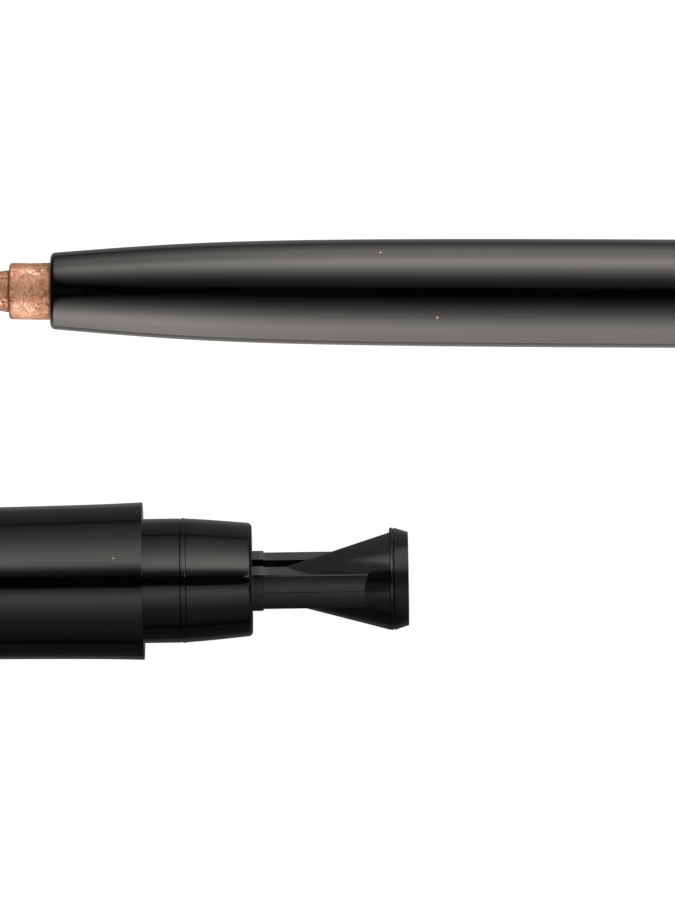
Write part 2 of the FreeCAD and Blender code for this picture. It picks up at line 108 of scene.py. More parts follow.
camera_data = bpy.data.cameras.new("above")
camera_data.sensor_width = SENSOR
camera_data.lens = SENSOR * CAMERA_RISE / VIEW_HEIGHT
camera = bpy.data.objects.new("above", camera_data)
camera.location = VIEW_CENTRE + Vector((0, 0, CAMERA_RISE))
camera.rotation_euler = (0, 0, CAMERA_ROLL)
bpy.context.scene.collection.objects.link(camera)
bpy.context.scene.camera = camera
bpy.context.scene.view_settings.view_transform = "Standard"
print("lens", round(camera_data.lens, 1), "mm")

# %% [markdown]
# ## Shader maths written as Python
#
# Materials are trees of nodes, and wiring them by hand hides the idea. This small
# class wraps one output socket, so that `1 - mask * 0.5` adds the Math nodes by
# itself. Every other node comes from `add`, which takes the node's type, its
# settings and what goes into its sockets.

# %% A socket that can do sums
class Value:
    """One output socket of a node tree."""

    def __init__(self, tree, socket):
        self.tree = tree
        self.socket = socket

    def maths(self, operation, *others):
        """Add a Math node that is fed by this value and the others."""
        terms = dict(enumerate((self, *others)))
        return add(self.tree, "ShaderNodeMath", {"operation": operation}, terms)

    def __add__(self, other):
        return self.maths("ADD", other)

    def __sub__(self, other):
        return self.maths("SUBTRACT", other)

    def __mul__(self, other):
        return self.maths("MULTIPLY", other)

    def __rsub__(self, other):
        return add(self.tree, "ShaderNodeMath", {"operation": "SUBTRACT"}, {0: other, 1: self})

    def __abs__(self):
        return self.maths("ABSOLUTE")

    __radd__ = __add__
    __rmul__ = __mul__


def add(tree, kind, settings=None, sockets=None, out=0):
    """Add a node, set it up, feed its sockets and return one of its outputs."""
    node = tree.nodes.new(kind)
    for key, setting in (settings or {}).items():
        if key == "stops":
            ramp = node.color_ramp.elements
            while len(ramp) < len(setting):
                ramp.new(1.0)
            for element, (position, colour) in zip(ramp, setting):
                element.position = position
                element.color = colour
        else:
            setattr(node, key, setting)
    for key, value in (sockets or {}).items():
        if isinstance(value, Value):
            tree.links.new(value.socket, node.inputs[key])
        else:
            node.inputs[key].default_value = value
    return Value(tree, node.outputs[out]) if node.outputs else None


print("operators ready: + - * abs")

# %% [markdown]
# A finish starts from the Principled shader. The numbers that hold all over a
# surface are set straight on its sockets. Only what changes from place to place
# is linked: colour, roughness and the bump that tilts the normal.

# %% Start and end of a finish
def grey(level):
    """A neutral colour."""
    return (level, level, level, 1.0)


def empty_tree(owner):
    """Give a material or a world an empty node tree."""
    owner.use_nodes = True
    owner.node_tree.nodes.clear()
    return owner.node_tree


def place_in_mm(tree):
    """Where the shaded point lies, in millimetres."""
    place = add(tree, "ShaderNodeTexCoord", out="Object")
    return add(tree, "ShaderNodeVectorMath", {"operation": "SCALE"}, {0: place, "Scale": 1 / MM})


def new_finish(name):
    """A new material, its empty tree, and the place of a point in millimetres."""
    material = bpy.data.materials.new(name)
    tree = empty_tree(material)
    return material, tree, place_in_mm(tree)


def finish_with(tree, sockets):
    """Close a finish with a Principled shader that has the sockets given."""
    shader = add(tree, "ShaderNodeBsdfPrincipled", sockets=sockets)
    add(tree, "ShaderNodeOutputMaterial", sockets={"Surface": shader})


print("a finish can be started and closed")

# %% [markdown]
# Four small tools do most of the work on a surface. Noise makes patches of a size
# given in millimetres. A smooth step turns a range of noise into a mask. A mix
# blends two colours by a mask, and a bump tilts the surface by a height.

# %% Patches, masks, blends and bumps
def mottle(tree, place, size, detail=3.0, roughness=0.5):
    """Soft noise whose patches are about as large as the size given, in mm."""
    sockets = {"Vector": place, "Scale": 1 / size, "Detail": detail, "Roughness": roughness}
    return add(tree, "ShaderNodeTexNoise", sockets=sockets)


def between(tree, value, low, high, out_low=0.0, out_high=1.0):
    """Map a value from one range to another with smooth ends."""
    sockets = {"Value": value, "From Min": low, "From Max": high}
    sockets |= {"To Min": out_low, "To Max": out_high}
    return add(tree, "ShaderNodeMapRange", {"interpolation_type": "SMOOTHSTEP"}, sockets)


def mix_colours(tree, factor, first, second):
    """Blend two colours. Sockets 0, 6 and 7 are the factor and the two colours."""
    sockets = {0: factor, 6: first, 7: second}
    return add(tree, "ShaderNodeMix", {"data_type": "RGBA"}, sockets, out=2)


def bumped(tree, height, depth):
    """A normal tilted by a height map, whose full range is the depth given in mm."""
    sockets = {"Strength": 1.0, "Distance": depth * MM, "Height": height}
    return add(tree, "ShaderNodeBump", sockets=sockets)


print("four tools for surfaces")

# %% [markdown]
# ### Glossy black lacquer
#
# The shell, the barrel and the plug are black plastic with a hard gloss. What
# makes such a surface look real is what it mirrors, so the base is nearly black
# and the gloss is sharp. Three things keep it from looking like glass: a faint
# unevenness from the mould, slight changes of roughness, and a few pale specks.

# %% Black lacquer
LACQUER_CLEAR = (0.0006, 0.0006, 0.0006, 1)
LACQUER_HAZY = (0.0016, 0.0015, 0.0014, 1)
PALE_SPECK_COLOUR = (0.62, 0.55, 0.46, 1)
PALE_SPECKS = [((-36.17, 11.68, 7.27), 0.1), ((-32.57, 7.58, 7.99), 0.11), ((-52.92, -7.67, 9.71), 0.08)]

black_lacquer, tree, place = new_finish("black_lacquer")
wave = mottle(tree, place, 1.6, 2.0)
haze = mottle(tree, place, 5.0, 4.0)
# Three small pale specks, rougher than the gloss, at the spots listed above.
pale_specks = 0.0
for spot, size in PALE_SPECKS:
    sockets = {0: place, 1: spot}
    gap = add(tree, "ShaderNodeVectorMath", {"operation": "DISTANCE"}, sockets, out="Value")
    pale_specks = between(tree, gap, 0.0, size, 1.0, 0.0) + pale_specks
colour = mix_colours(tree, haze, LACQUER_CLEAR, LACQUER_HAZY)
finish_with(tree, {
    "Base Color": mix_colours(tree, pale_specks, colour, PALE_SPECK_COLOUR),
    "Roughness": 0.05 + haze * 0.04 + pale_specks * 0.5,
    "IOR": 1.52,
    "Coat Weight": 1.0,
    "Coat Roughness": 0.04,
    "Coat IOR": 1.45,
    "Normal": bumped(tree, wave, 0.0006),
})
print("made", black_lacquer.name)

# %% [markdown]
# ### Black moulding
#
# The sharpener is moulded in one shot and never lacquered. Its surface takes the
# fine texture of the mould, so it shines softer and a little uneven.

# %% Black moulding
MOULDING_DARK = (0.0012, 0.0012, 0.0011, 1)
MOULDING_PALE = (0.0032, 0.003, 0.0028, 1)

black_moulding, tree, place = new_finish("black_moulding")
grain = mottle(tree, place, 0.09, 3.0)
flow = mottle(tree, place, 1.1, 3.0)
finish_with(tree, {
    "Base Color": mix_colours(tree, flow, MOULDING_DARK, MOULDING_PALE),
    "Roughness": 0.16 + flow * 0.1,
    "IOR": 1.52,
    "Coat Weight": 0.8,
    "Coat Roughness": 0.1,
    "Coat IOR": 1.45,
    "Normal": bumped(tree, grain * 0.6 + flow, 0.004),
})
print("made", black_moulding.name)

# %% [markdown]
# ### Soft copper lead
#
# The lead is wax full of pearl pigment. Its colour has broad pale and deeper
# copper patches of its own. Over them lies crumb-sized light and dark, which is
# painted shade and painted highlight, and tiny painted pearl glints lie on top.
# Noises of different size build it, from broad clouds down to specks. The crumbs'
# place is bent by a noise first, so that they lose their even look. A mask of
# rough zones makes some areas crumbly and leaves others smooth.

# %% Copper lead: patches, painted crumb shade and painted glints
LEAD_DEEP = (0.46, 0.158, 0.06, 1)
LEAD_PALE = (0.77, 0.414, 0.268, 1)
# The colour of the painted pearl glints, which are painted highlights.
LEAD_PAINTED_GLINT = (0.95, 0.68, 0.53, 1)
BEND = (0.34, 0.34, 0.34)

copper_lead, tree, place = new_finish("copper_lead")
bend_sockets = {"Vector": place, "Scale": 1 / 0.5, "Detail": 2.0}
bend = add(tree, "ShaderNodeTexNoise", sockets=bend_sockets, out="Color")
bent_sockets = {0: bend, 1: BEND, 2: place}
bent = add(tree, "ShaderNodeVectorMath", {"operation": "MULTIPLY_ADD"}, bent_sockets)
cloud = mottle(tree, place, 1.1, 2.0)
crumb = mottle(tree, bent, 0.24, 3.0, 0.6)
speck = mottle(tree, place, 0.075, 1.0)
rough_zone = between(tree, mottle(tree, place, 0.9, 1.0), 0.42, 0.58, 0.4, 1.0)
# Broad clouds are the wax's own tone; the crumb term adds painted crumb shade and highlight.
patches_and_crumb_shade = between(tree, cloud * 0.5 + (crumb - 0.5) * rough_zone, 0.1, 0.4)
# Painted pearl glints: tiny painted highlights mixed into the base colour.
painted_glint = between(tree, speck, 0.56, 0.68) * rough_zone
colour = mix_colours(tree, patches_and_crumb_shade, LEAD_DEEP, LEAD_PALE)
colour = mix_colours(tree, painted_glint * 0.6, colour, LEAD_PAINTED_GLINT)
print("patches, crumbs and glints")

# %% [markdown]
# Thin cracks run between the crumbs, and painted shade darkens them. Where the
# wax is dry, a voronoi pattern makes them, since its cells meet in sharp lines.
# Elsewhere they are soft folds: the places where a noise passes through its middle
# value. Two rings are painted darker as well: painted shade in the recess where the
# slim tip joins the stick, and a painted contact shadow at the line where the lead
# leaves the shell's mouth.

# %% Copper lead: cracks, their painted shade and rings of painted shade
# The colour of painted shade: in the cracks, in the shoulder recess and at the mouth.
LEAD_SHADE = (0.26, 0.068, 0.02, 1)
SHOULDER_X = nose.x / MM - 2.62

crack_sockets = {"Vector": bent, "Scale": 1 / 0.5, "Randomness": 1.0}
crack_lines = add(tree, "ShaderNodeTexVoronoi", {"feature": "DISTANCE_TO_EDGE"}, crack_sockets)
cells = between(tree, crack_lines + crumb * 0.12, 0.055, 0.12, 1.0, 0.0)
folds = between(tree, abs(mottle(tree, bent, 0.55, 2.0) - 0.5), 0.01, 0.045, 1.0, 0.0)
dry = between(tree, mottle(tree, place, 0.8, 2.0), 0.42, 0.58)
# Painted shade in the cracks; the same mask also roughens them and sinks them in the bump.
crack_and_shade = (cells * dry * 0.95 + folds * (1 - dry) * 0.8) * rough_zone
colour = mix_colours(tree, crack_and_shade, colour, LEAD_SHADE)

along = add(tree, "ShaderNodeSeparateXYZ", sockets={0: place}, out="X")
# Painted shade in the recess where the slim tip meets the stick.
shoulder_shade = between(tree, abs(along - SHOULDER_X), 0.02, 0.12, 1.0, 0.0)
past_mouth = along - nose.x / MM
# Painted contact shadow, a ring around the line where the lead leaves the shell's mouth.
mouth = between(tree, past_mouth, -0.16, 0.0) * between(tree, past_mouth, 0.05, 0.3, 1.0, 0.0)
height = crumb * rough_zone * 0.9 + cloud * 0.4 + speck * 0.2 - crack_and_shade * 0.6
finish_with(tree, {
    "Base Color": mix_colours(tree, shoulder_shade * 0.85 + mouth * 0.8, colour, LEAD_SHADE),
    "Roughness": 0.4 - patches_and_crumb_shade * 0.06 + crack_and_shade * 0.2,
    "Metallic": between(tree, patches_and_crumb_shade, 0.2, 0.9, 0.2, 0.4),
    "IOR": 1.75,
    "Normal": bumped(tree, height, 0.05),
})
print("made", copper_lead.name)

# %% [markdown]
# ### Unseen pieces
#
# The carrier, the guide, the rod and the nut are natural plastic, a milky white,
# and the drag ring is soft black rubber. Nobody sees them while the pencil is
# closed, but a reader who hides the barrel should find them finished.

# %% Natural plastic and soft ring
natural_plastic, tree, place = new_finish("natural_plastic")
flow = mottle(tree, place, 1.4, 3.0)
finish_with(tree, {
    "Base Color": mix_colours(tree, flow, (0.62, 0.61, 0.56, 1), (0.72, 0.71, 0.67, 1)),
    "Roughness": 0.34 + flow * 0.12,
    "IOR": 1.5,
    "Normal": bumped(tree, flow, 0.003),
})

soft_ring, tree, place = new_finish("soft_ring")
grain = mottle(tree, place, 0.12, 2.0)
finish_with(tree, {
    "Base Color": mix_colours(tree, grain, (0.012, 0.012, 0.012, 1), (0.022, 0.022, 0.022, 1)),
    "Roughness": 0.6 + grain * 0.15,
    "Normal": bumped(tree, grain, 0.004),
})


def dress(obj, material):
    """Give an object one material."""
    obj.data.materials.clear()
    obj.data.materials.append(material)


for name in ("guide_tube", "lead_carrier", "push_rod", "drive_nut"):
    dress(nodes[name], natural_plastic)
dress(nodes["friction_ring"], soft_ring)
dress(nodes["sharpener"], black_moulding)
print("dressed the inner pieces and the sharpener")

# %% [markdown]
# ## Turned pieces
#
# A shape that is round about an axis is best made like on a lathe: the half
# outline is drawn once and swept round. Long curves are Bezier curves with four
# poles. Corners are rounded in the outline, as on any moulded part, because a
# rounded edge catches a thin line of light.

# %% Outlines with curves and rounded corners
def bezier(poles, steps):
    """Points along a smooth curve with four poles."""
    points = []
    for i in range(steps + 1):
        t = i / steps
        weights = ((1 - t) ** 3, 3 * t * (1 - t) ** 2, 3 * t * t * (1 - t), t ** 3)
        points.append(tuple(sum(w * pole[k] for w, pole in zip(weights, poles)) for k in (0, 1)))
    return points


def rounded(corner, before, after, radius, steps=8):
    """The arc that rounds one corner of an outline."""
    corner, before, after = Vector(corner), Vector(before), Vector(after)
    back = (before - corner).normalized()
    on = (after - corner).normalized()
    half = back.angle(on) / 2
    reach = radius / math.tan(half)
    centre = corner + (back + on).normalized() * radius / math.sin(half)
    start = corner + back * reach - centre
    sweep = start.angle_signed(corner + on * reach - centre)
    arc = []
    for i in range(steps + 1):
        turn = Matrix.Rotation(-sweep * i / steps, 2)
        arc.append(tuple(centre + turn @ start))
    return arc


def outline(points):
    """An outline whose points may carry a third value, the corner's radius."""
    drawn = []
    for i, entry in enumerate(points):
        if len(entry) == 2:
            drawn.append(tuple(entry))
        else:
            before, after = points[i - 1][:2], points[(i + 1) % len(points)][:2]
            drawn += rounded(entry[:2], before, after, entry[2])
    return drawn


def low_bead(start, width, radius, height):
    """Points over a low rounded ridge."""
    crest = radius + 4 / 3 * height
    poles = [(start, radius), (start + width / 3, crest)]
    poles += [(start + 2 * width / 3, crest), (start + width, radius)]
    return bezier(poles, 10)


print("a rounded corner has", len(rounded((0, 1), (0, 0), (1, 1), 0.1)), "points")

# %% [markdown]
# The sweep turns each outline point into a ring of vertices and joins neighbouring
# rings with faces. A gloss surface shows every facet, so there are many of them,
# and the shading normals are weighted towards the large faces to keep the flat
# runs flat. A modifier does that, which is less work than setting normals by hand.

# %% Sweep an outline round its axis
def lathe(name, drawn, place, sides=160, shift=None):
    """A closed mesh that the half outline sweeps round the axis."""
    verts, rings = [], []
    for x, r in drawn:
        if r < 1e-6:
            rings.append([len(verts)])
            verts.append(place @ Vector((x * MM, 0, 0)))
            continue
        rings.append(list(range(len(verts), len(verts) + sides)))
        for k in range(sides):
            angle = 2 * math.pi * k / sides
            out = r + (shift(x, r, angle) if shift else 0.0)
            point = Vector((x, out * math.cos(angle), out * math.sin(angle)))
            verts.append(place @ (point * MM))
    faces = []
    for near, far in zip(rings, rings[1:] + rings[:1]):
        for k in range(max(len(near), len(far))):
            ring = [near[k % len(near)], far[k % len(far)]]
            ring += [far[(k + 1) % len(far)], near[(k + 1) % len(near)]]
            corners = list(dict.fromkeys(ring))
            if len(corners) > 2:
                faces.append(corners)
    mesh = bpy.data.meshes.new(name)
    mesh.from_pydata(verts, [], faces)
    mesh.shade_smooth()
    piece = bpy.data.objects.new(name, mesh)
    bpy.context.scene.collection.objects.link(piece)
    return piece


def turned_piece(name, points, place, body, replaced):
    """A lacquered turned piece with clean gloss shading that stands for a CAD solid."""
    piece = lathe(name, outline(points), place)
    piece.data.set_sharp_from_angle(angle=math.radians(32))
    weighted = piece.modifiers.new("even shading", "WEIGHTED_NORMAL")
    weighted.keep_sharp = True
    dress(piece, black_lacquer)
    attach(piece, body)
    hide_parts(replaced)
    print(name, len(piece.data.polygons), "faces")


print("the lathe is ready")

# %% [markdown]
# ### Front shell
#
# The shell holds the lead in a narrow nose, swells quickly and runs out almost
# straight. That outside line is one Bezier curve. Behind it come the low bead that
# the cap clicks over, and the neck that turns inside the barrel, with its snap
# bead and the groove of the drag ring. The outline then comes back along the
# inside, past the room of the guide tube, to the nose's bore.

# %% Front shell
NOSE_RADIUS = 2.42
NOSE_BORE = 1.83
NOSE_BORE_END = 3
SHELL_RADIUS = 3.44
SHELL_LENGTH = 44.0
NECK_RADIUS = 3.94
NECK_END = 58
RING_GROOVE = (49, 50.1)
RING_GROOVE_RADIUS = 3.11
CARRIER_BORE = 2.21
GUIDE_BORE = 2.58
GUIDE_START = 10

bend_radius = NOSE_RADIUS + 0.765 * (SHELL_RADIUS - NOSE_RADIUS)
taper = bezier([(0, NOSE_RADIUS), (9.5, bend_radius), (12, SHELL_RADIUS), (38, SHELL_RADIUS)], 72)
shell_points = [(0, NOSE_BORE, 0.05), (0, NOSE_RADIUS, 0.32)]
shell_points += [spot for spot in taper if spot[0] > 0.5]
shell_points += low_bead(41.8, 0.6, SHELL_RADIUS, 0.06)
shell_points += [(SHELL_LENGTH, SHELL_RADIUS), (SHELL_LENGTH, NECK_RADIUS, 0.1)]
shell_points += [(RING_GROOVE[0], NECK_RADIUS), (RING_GROOVE[0], RING_GROOVE_RADIUS)]
shell_points += [(RING_GROOVE[1], RING_GROOVE_RADIUS), (RING_GROOVE[1], NECK_RADIUS)]
shell_points += low_bead(55, 0.8, NECK_RADIUS, 0.18)
shell_points += [(NECK_END, NECK_RADIUS, 0.15), (NECK_END, GUIDE_BORE)]
shell_points += [(GUIDE_START, GUIDE_BORE), (GUIDE_START, CARRIER_BORE)]
shell_points += [(NOSE_BORE_END, CARRIER_BORE), (NOSE_BORE_END, NOSE_BORE)]
turned_piece("shell_lacquered", shell_points, pencil_place, "front", "front_shell")

# %% [markdown]
# ### Barrel
#
# The barrel is the grip that is turned by hand. It is a plain tube outside, with
# softly rounded ends. Inside it has two rooms: the mechanism's in front and, past
# a partition, the socket that takes the plug with its sharpener. A shallow groove
# near the socket's mouth takes the plug's bead, and one in front the neck's.

# %% Barrel
BARREL_RADIUS = 5.0
BARREL_REAR = 121.25
SOCKET_RADIUS = 3.97
SOCKET_START = 103.25
SOCKET_END = 121.05
SOCKET_GROOVE = (118.7, 119, 4.005)
PARTITION_FRONT = 102.05
ROOM_RADIUS = 3.8
ROOM_START = 63.82
NECK_ROOM_RADIUS = 4.0
NECK_GROOVE = (54.94, 55.86, 4.18)

groove_in, groove_out, groove_radius = SOCKET_GROOVE
barrel_points = [(SHELL_LENGTH, NECK_ROOM_RADIUS), (SHELL_LENGTH, BARREL_RADIUS, 0.25)]
barrel_points += [(BARREL_REAR, BARREL_RADIUS, 0.25), (BARREL_REAR, 4.17)]
barrel_points += [(SOCKET_END, SOCKET_RADIUS), (groove_out, SOCKET_RADIUS)]
barrel_points += [(groove_out, groove_radius), (groove_in, groove_radius)]
barrel_points += [(groove_in, SOCKET_RADIUS), (SOCKET_START, SOCKET_RADIUS)]
barrel_points += [(SOCKET_START, 0), (PARTITION_FRONT, 0), (PARTITION_FRONT, ROOM_RADIUS)]
groove_in, groove_out, groove_radius = NECK_GROOVE
barrel_points += [(ROOM_START, ROOM_RADIUS), (ROOM_START, NECK_ROOM_RADIUS)]
barrel_points += [(groove_out, NECK_ROOM_RADIUS), (groove_out, groove_radius)]
barrel_points += [(groove_in, groove_radius), (groove_in, NECK_ROOM_RADIUS)]
turned_piece("barrel_lacquered", barrel_points, pencil_place, "barrel", "rear_barrel")

# %% [markdown]
# ### Plug sleeve
#
# The sleeve is what the fingers pull. It is closed at its far end and flares
# gently to its mouth, so that it meets the barrel flush. The flare is one more
# Bezier curve. A straight line would show as a hard change in the reflections.

# %% Plug sleeve
SLEEVE_END = -13
SLEEVE_END_RADIUS = 4.79
SLEEVE_BORE = 3.96
SLEEVE_FLOOR = -11.8

flare = bezier([(SLEEVE_END, SLEEVE_END_RADIUS), (-5, 4.86), (-2.5, 4.9), (0, BARREL_RADIUS)], 40)
sleeve_points = [(SLEEVE_END, 0), (SLEEVE_END, SLEEVE_END_RADIUS, 0.7)]
sleeve_points += [spot for spot in flare if -12.2 < spot[0] < -0.08]
sleeve_points += [(0, BARREL_RADIUS, 0.04), (0, SLEEVE_BORE, 0.04)]
sleeve_points += [(SLEEVE_FLOOR, SLEEVE_BORE), (SLEEVE_FLOOR, 0)]
turned_piece("sleeve_lacquered", sleeve_points, plug_place, "front", "plug_sleeve")

# %% [markdown]
# ### Plug collar
#
# The slimmer collar is pressed into the sleeve. It carries a thin snap bead
# between two hair-thin grooves, and curves in to a rounded nose. On black gloss a
# flat groove hardly shows, so they are V grooves: their steep sides mirror each
# other and look dark. Inside is the boss that holds the sharpener.

# %% Plug collar
COLLAR_RADIUS = 3.94
COLLAR_NOSE = 3.58
COLLAR_REACH = 6.9
COLLAR_ROOT = -10.6
COLLAR_TAPER_START = 2.52
GROOVE_START = 2.33
COLLAR_BEAD_START = 2.44
PARTING_START = 2.7
BOSS_END = 1.9
BOSS_BORE = 2.12
BOSS_RADIUS = 2.82
COLLAR_HOLLOW = 2.94
COLLAR_FLOOR = 5.9


def fine_groove(start, width, radius):
    """Points down into a V groove and out again."""
    return [(start, radius), (start + width / 2, radius - 0.6 * width), (start + width, radius)]


run = COLLAR_REACH - COLLAR_TAPER_START
drop = COLLAR_RADIUS - COLLAR_NOSE
poles = [(COLLAR_TAPER_START, COLLAR_RADIUS)]
poles += [(COLLAR_TAPER_START + 0.3 * run, COLLAR_RADIUS - 0.17 * drop)]
poles += [(COLLAR_TAPER_START + 0.65 * run, COLLAR_RADIUS - 0.6 * drop)]
poles += [(COLLAR_REACH, COLLAR_NOSE)]
collar_line = bezier(poles, 40)

collar_points = [(COLLAR_ROOT, COLLAR_HOLLOW), (COLLAR_ROOT, COLLAR_RADIUS, 0.1)]
collar_points += fine_groove(GROOVE_START, 0.08, COLLAR_RADIUS)
collar_points += low_bead(COLLAR_BEAD_START, 0.24, COLLAR_RADIUS, 0.02)
collar_points += fine_groove(PARTING_START, 0.05, COLLAR_RADIUS - 0.006)
curve_start, curve_end = PARTING_START + 0.06, COLLAR_REACH - 0.5
collar_points += [spot for spot in collar_line if curve_start < spot[0] < curve_end]
collar_points += [(COLLAR_REACH, COLLAR_NOSE, 0.29), (COLLAR_REACH, BOSS_BORE)]
collar_points += [(BOSS_END, BOSS_BORE), (BOSS_END, BOSS_RADIUS)]
collar_points += [(COLLAR_FLOOR, BOSS_RADIUS), (COLLAR_FLOOR, COLLAR_HOLLOW)]
turned_piece("collar_lacquered", collar_points, plug_place, "front", "plug_collar")

# %% [markdown]
# ### Mould lines
#
# A moulded part shows where the two halves of its mould met. On the front leg of
# the sharpener it is a hair-thin ridge along the middle. It is too fine for the
# CAD solid, so a slim bar is laid half into the surface.

# %% Mould lines
LEG_ROLL = math.radians(15.5)
SPIGOT_RISE = 0.09
RIDGE_SECTION = [(-0.03, -0.03), (-0.018, 0.006), (0, 0.012), (0.018, 0.006), (0.03, -0.03)]


def mould_line(name, start, end, radius, roll):
    """A hair-thin ridge along a leg of the sharpener."""
    verts = []
    turn = Matrix.Rotation(roll, 4, "X")
    for along in (start, end):
        for across, rise in RIDGE_SECTION:
            spot = turn @ Vector((along, across, radius + rise)) - Vector((0, SPIGOT_RISE, 0))
            verts.append(plug_place @ (spot * MM))
    count = len(RIDGE_SECTION)
    faces = [(k, (k + 1) % count, count + (k + 1) % count, count + k) for k in range(count)]
    faces += [tuple(range(count - 1, -1, -1)), tuple(range(count, 2 * count))]
    mesh = bpy.data.meshes.new(name)
    mesh.from_pydata(verts, [], faces)
    line = bpy.data.objects.new(name, mesh)
    bpy.context.scene.collection.objects.link(line)
    dress(line, black_moulding)
    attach(line, "front")


mould_line("mould_line_leg", 7.68, 13.9, 2.8, LEG_ROLL)
mould_line("mould_line_band", 6.98, 7.5, 2.915, LEG_ROLL + math.radians(2.5))
print("two mould lines")

# %% [markdown]
# ### The lead
#
# The soft stick is turned like the rest, but with many more rings, and then every
# point is pushed in or out a little. Broad waves make it look hand-worn, small
# ones make the crumbs, and a ridged noise cuts the cracks. The pushes stay within
# a few hundredths of a millimetre, since the lead has to slide back into its nose.

# %% How the lead crumbles
LEAD_OUT = 2.6
TIP_BASE = 1.34
PUSH_IN = -0.06
PUSH_OUT = 0.048


def crumble(x, r, angle):
    """How far a point of the lead stands off its smooth shape, in mm."""
    spot = Vector((x, r * math.cos(angle), r * math.sin(angle)))
    worn = noise.noise(spot * 0.9) * 0.02
    crumbs = noise.fractal(spot * 3.4, 0.8, 2.1, 3) * 0.014
    ridge = 1 - abs(noise.noise(spot * 2.3 + Vector((7, 3, 1)))) * 9
    cracks = -0.03 * max(ridge, 0.0) ** 2
    pressed = 0.03 * math.exp(-((x + 0.2) / 0.22) ** 2) * max(-math.cos(angle), 0.0) ** 2
    lean = -0.03 * math.cos(angle) if x < -0.05 else 0.0
    push = 0.014 + worn + crumbs + cracks + pressed + lean
    recess = -0.05 * math.exp(-((x + LEAD_OUT) / 0.07) ** 2) if r < TIP_BASE + 0.01 else 0.0
    return max(min(push, PUSH_OUT), PUSH_IN) + recess


print("the lead is pushed out by", PUSH_OUT, "mm at most")

# %% [markdown]
# A push only shows where there is a point to push. So the straight runs of the
# outline are filled with points that lie about a tenth of a millimetre apart: the
# face and the cone of the tip, the shoulder, and the stick itself.

# %% Lead
LEAD_RADIUS = 1.78
LEAD_REAR = 38.8
TIP_LENGTH = 2.6
TIP_RADIUS = TIP_BASE - TIP_LENGTH * math.tan(math.radians(10))
RING_GAP = 0.11


def evenly(x_from, r_from, x_to, r_to):
    """Points between two ends of a straight line, about a ring gap apart."""
    dx, dr = x_to - x_from, r_to - r_from
    count = max(1, round(math.hypot(dx, dr) / RING_GAP))
    return [(x_from + dx * i / count, r_from + dr * i / count) for i in range(1, count)]


tip_end = -LEAD_OUT - TIP_LENGTH
tip_arc = rounded((tip_end, TIP_RADIUS), (tip_end, 0), (-LEAD_OUT, TIP_BASE), 0.5)
shoulder_arc = rounded((-LEAD_OUT, LEAD_RADIUS), (-LEAD_OUT, TIP_BASE), (0, LEAD_RADIUS), 0.16)
lead_outline = [(tip_end, 0)] + evenly(tip_end, 0, *tip_arc[0]) + tip_arc
lead_outline += evenly(*tip_arc[-1], -LEAD_OUT, TIP_BASE) + [(-LEAD_OUT, TIP_BASE)]
lead_outline += evenly(-LEAD_OUT, TIP_BASE, *shoulder_arc[0]) + shoulder_arc
lead_outline += evenly(*shoulder_arc[-1], LEAD_REAR, LEAD_RADIUS)
lead_outline += [(LEAD_REAR, LEAD_RADIUS), (LEAD_REAR, 0)]
lead_stick = lathe("lead_stick", lead_outline, pencil_place, 112, crumble)
dress(lead_stick, copper_lead)
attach(lead_stick, "feed")
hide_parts("lead")
print("lead_stick", len(lead_stick.data.polygons), "faces")

# %% [markdown]
# ## Light
#
# A gloss black pencil shows nothing but its surroundings, so the studio is drawn
# on cards that glow. How bright a card is at each height is a short list of
# (mm, level), which a colour ramp turns into a smooth gradient. The light is a
# warm white. The camera doesn't see the cards, and they cast no shadow.

# %% Glowing cards
CARD_GAIN = 0.54
WARM_WHITE = (1.0, 0.955, 0.905)
AXIS_HEIGHT = nose.z / MM


def ramp(tree, value, stops):
    """Turn a value in mm into a level that follows a list of (mm, level)."""
    low, reach = stops[0][0], stops[-1][0] - stops[0][0]
    peak = max(level for _, level in stops)
    shares = [((spot - low) / reach, grey(level / peak)) for spot, level in stops]
    share = (value - low) * (1 / reach)
    return add(tree, "ShaderNodeValToRGB", {"stops": shares}, {0: share}, out="Color") * peak


def glow(name, across, along=None, gain=CARD_GAIN, axis="Z", start=AXIS_HEIGHT, two_sided=False):
    """Light that follows (mm, level) stops counted from the start on one axis.

    A second list, counted along X from the nose, dims or brightens the length.
    Unless it is two-sided, a card is clear when it is seen from behind.
    """
    material, tree, place = new_finish(name)
    spot = add(tree, "ShaderNodeSeparateXYZ", sockets={0: place}, out=axis)
    level = ramp(tree, spot - start, across)
    if along:
        from_nose = add(tree, "ShaderNodeSeparateXYZ", sockets={0: place}, out="X") - nose.x / MM
        level = level * ramp(tree, from_nose, along)
    sockets = {0: WARM_WHITE, "Scale": level * gain}
    warm = add(tree, "ShaderNodeVectorMath", {"operation": "SCALE"}, sockets)
    light = add(tree, "ShaderNodeEmission", sockets={"Color": warm, "Strength": 1.0})
    if not two_sided:
        behind = add(tree, "ShaderNodeNewGeometry", out="Backfacing")
        clear = add(tree, "ShaderNodeBsdfTransparent")
        light = add(tree, "ShaderNodeMixShader", sockets={0: behind, 1: light, 2: clear})
    add(tree, "ShaderNodeOutputMaterial", sockets={"Surface": light})
    return material


def stage_plane(name, corners, material):
    """A flat piece of the studio, with its corners in mm."""
    mesh = bpy.data.meshes.new(name)
    mesh.from_pydata([Vector(c) * MM for c in corners], [], [tuple(range(len(corners)))])
    mesh.materials.append(material)
    plane = bpy.data.objects.new(name, mesh)
    bpy.context.scene.collection.objects.link(plane)
    plane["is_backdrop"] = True
    return plane


def studio_card(name, corners, material):
    """A flat piece that only lights the object and shows in its reflections."""
    plane = stage_plane(name, corners, material)
    plane.visible_camera = False
    plane.visible_shadow = False


print("cards can glow")
